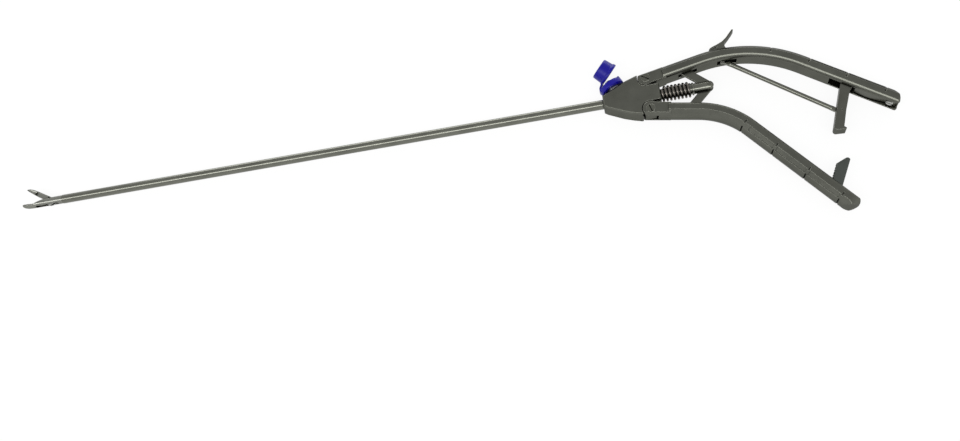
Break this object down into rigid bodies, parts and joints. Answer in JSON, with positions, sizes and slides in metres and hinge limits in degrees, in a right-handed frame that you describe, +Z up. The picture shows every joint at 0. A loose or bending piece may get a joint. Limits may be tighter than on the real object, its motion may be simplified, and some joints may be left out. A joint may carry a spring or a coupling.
{
  "type": "laparoscopic needle holder",
  "caption": "Long slim surgical needle holder with opening jaw, V shaped spring handles, side ratchet catch with thumb release and capped flushing port.",
  "frame": {"origin": "on the shaft axis at the nose of the housing, where the shaft enters it", "axes": "+X along the shaft towards the grips, +Y in the handle plane towards the flushing port, +Z up as the instrument lies on a table"},
  "size_m": [0.4701, 0.1049, 0.013],
  "materials": {
    "satin_steel": "satin stainless steel",
    "polished_steel": "drawn stainless tube, polished",
    "bright_steel": "bright turned stainless steel",
    "spring_steel": "spring steel wire and strip",
    "pin_steel": "ground steel pins",
    "dark_steel": "hardened dark steel",
    "hard_metal": "sintered hard metal, cross cut",
    "seal_rubber": "silicone seal",
    "blue_silicone": "smooth blue silicone"
  },
  "bodies": {
    "frame_body": {"shaft_tube": "polished_steel", "fixed_jaw": "polished_steel", "fixed_jaw_insert": "hard_metal", "jaw_pivot_pin": "pin_steel", "rod_seal": "seal_rubber", "housing": "satin_steel", "luer_port": "bright_steel", "cap_strap": "blue_silicone", "return_spring": "spring_steel"},
    "cap_body": {"flush_cap": "blue_silicone"},
    "upper_lever_body": {"upper_lever": "satin_steel", "upper_pivot_screw": "satin_steel", "upper_link_pin": "pin_steel", "trigger_pin": "pin_steel", "catch_arm_pin": "pin_steel", "leaf_spring": "spring_steel", "leaf_spring_screw": "bright_steel"},
    "lower_lever_body": {"lower_lever": "satin_steel", "lower_pivot_screw": "satin_steel", "lower_link_pin": "pin_steel", "ratchet_rack": "dark_steel", "rack_front_rivet": "pin_steel", "rack_rear_rivet": "pin_steel"},
    "upper_link_body": {"upper_link": "satin_steel"},
    "lower_link_body": {"lower_link": "satin_steel"},
    "rod_body": {"plunger": "polished_steel", "plunger_pin": "pin_steel", "drive_rod": "bright_steel", "jaw_drive_pin": "pin_steel"},
    "jaw_body": {"moving_jaw": "satin_steel", "moving_jaw_insert": "hard_metal"},
    "trigger_body": {"release_trigger": "satin_steel", "catch_rod_front_pin": "pin_steel"},
    "catch_rod_body": {"catch_rod": "bright_steel"},
    "catch_arm_body": {"catch_arm": "satin_steel", "catch_rod_rear_pin": "pin_steel"}
  },
  "joints": [
    {"name": "upper_lever_hinge", "type": "hinge", "parent": "frame_body", "child": "upper_lever_body", "pos_m": [0.023, 0.0088, 0], "axis": [0, 0, -1], "range_deg": [0, 5.69], "stiffness_Nm_per_rad": 6},
    {"name": "lower_lever_hinge", "type": "hinge", "parent": "frame_body", "child": "lower_lever_body", "pos_m": [0.023, -0.0088, 0], "axis": [0, 0, 1], "range_deg": [0, 5.7]},
    {"name": "upper_link_hinge", "type": "hinge", "parent": "upper_lever_body", "child": "upper_link_body", "pos_m": [0.04239, 0.01073, 0], "axis": [0, 0, 1], "range_deg": [0, 14.9]},
    {"name": "lower_link_hinge", "type": "hinge", "parent": "lower_lever_body", "child": "lower_link_body", "pos_m": [0.04239, -0.01073, 0], "axis": [0, 0, -1], "range_deg": [0, 14.9]},
    {"name": "plunger_slide", "type": "slide", "parent": "frame_body", "child": "rod_body", "axis": [1, 0, 0], "range_m": [0, 0.00166]},
    {"name": "jaw_hinge", "type": "hinge", "parent": "frame_body", "child": "jaw_body", "pos_m": [-0.3132, 0.00135, 0], "axis": [0, 0, 1], "range_deg": [0, 30.1]},
    {"name": "trigger_hinge", "type": "hinge", "parent": "upper_lever_body", "child": "trigger_body", "pos_m": [0.06449, 0.016, 0], "axis": [0, 0, -1], "range_deg": [0, 14], "stiffness_Nm_per_rad": 0.1, "springref_deg": -2.86},
    {"name": "catch_rod_hinge", "type": "hinge", "parent": "trigger_body", "child": "catch_rod_body", "pos_m": [0.06285, 0.01288, 0], "axis": [0, 0, 1], "range_deg": [0, 14]},
    {"name": "catch_arm_hinge", "type": "hinge", "parent": "upper_lever_body", "child": "catch_arm_body", "pos_m": [0.11817, -0.01102, 0], "axis": [0, 0, -1], "range_deg": [0, 3.2]},
    {"name": "cap_pull", "type": "slide", "parent": "frame_body", "child": "cap_body", "axis": [-0.7298, 0.6099, 0.309], "range_m": [0, 0.014]}
  ],
  "couplings": [
    {"joint": "lower_lever_hinge", "follows": "upper_lever_hinge", "ratio": 1},
    {"joint": "upper_link_hinge", "follows": "upper_lever_hinge", "ratio": 2.6042},
    {"joint": "lower_link_hinge", "follows": "upper_lever_hinge", "ratio": 2.6042},
    {"joint": "plunger_slide", "follows": "upper_lever_hinge", "m_per_rad": 0.016673},
    {"joint": "jaw_hinge", "follows": "upper_lever_hinge", "ratio": 5.2705},
    {"joint": "catch_rod_hinge", "follows": "trigger_hinge", "ratio": 0.9875},
    {"joint": "catch_arm_hinge", "follows": "trigger_hinge", "ratio": 0.2226}
  ]
}
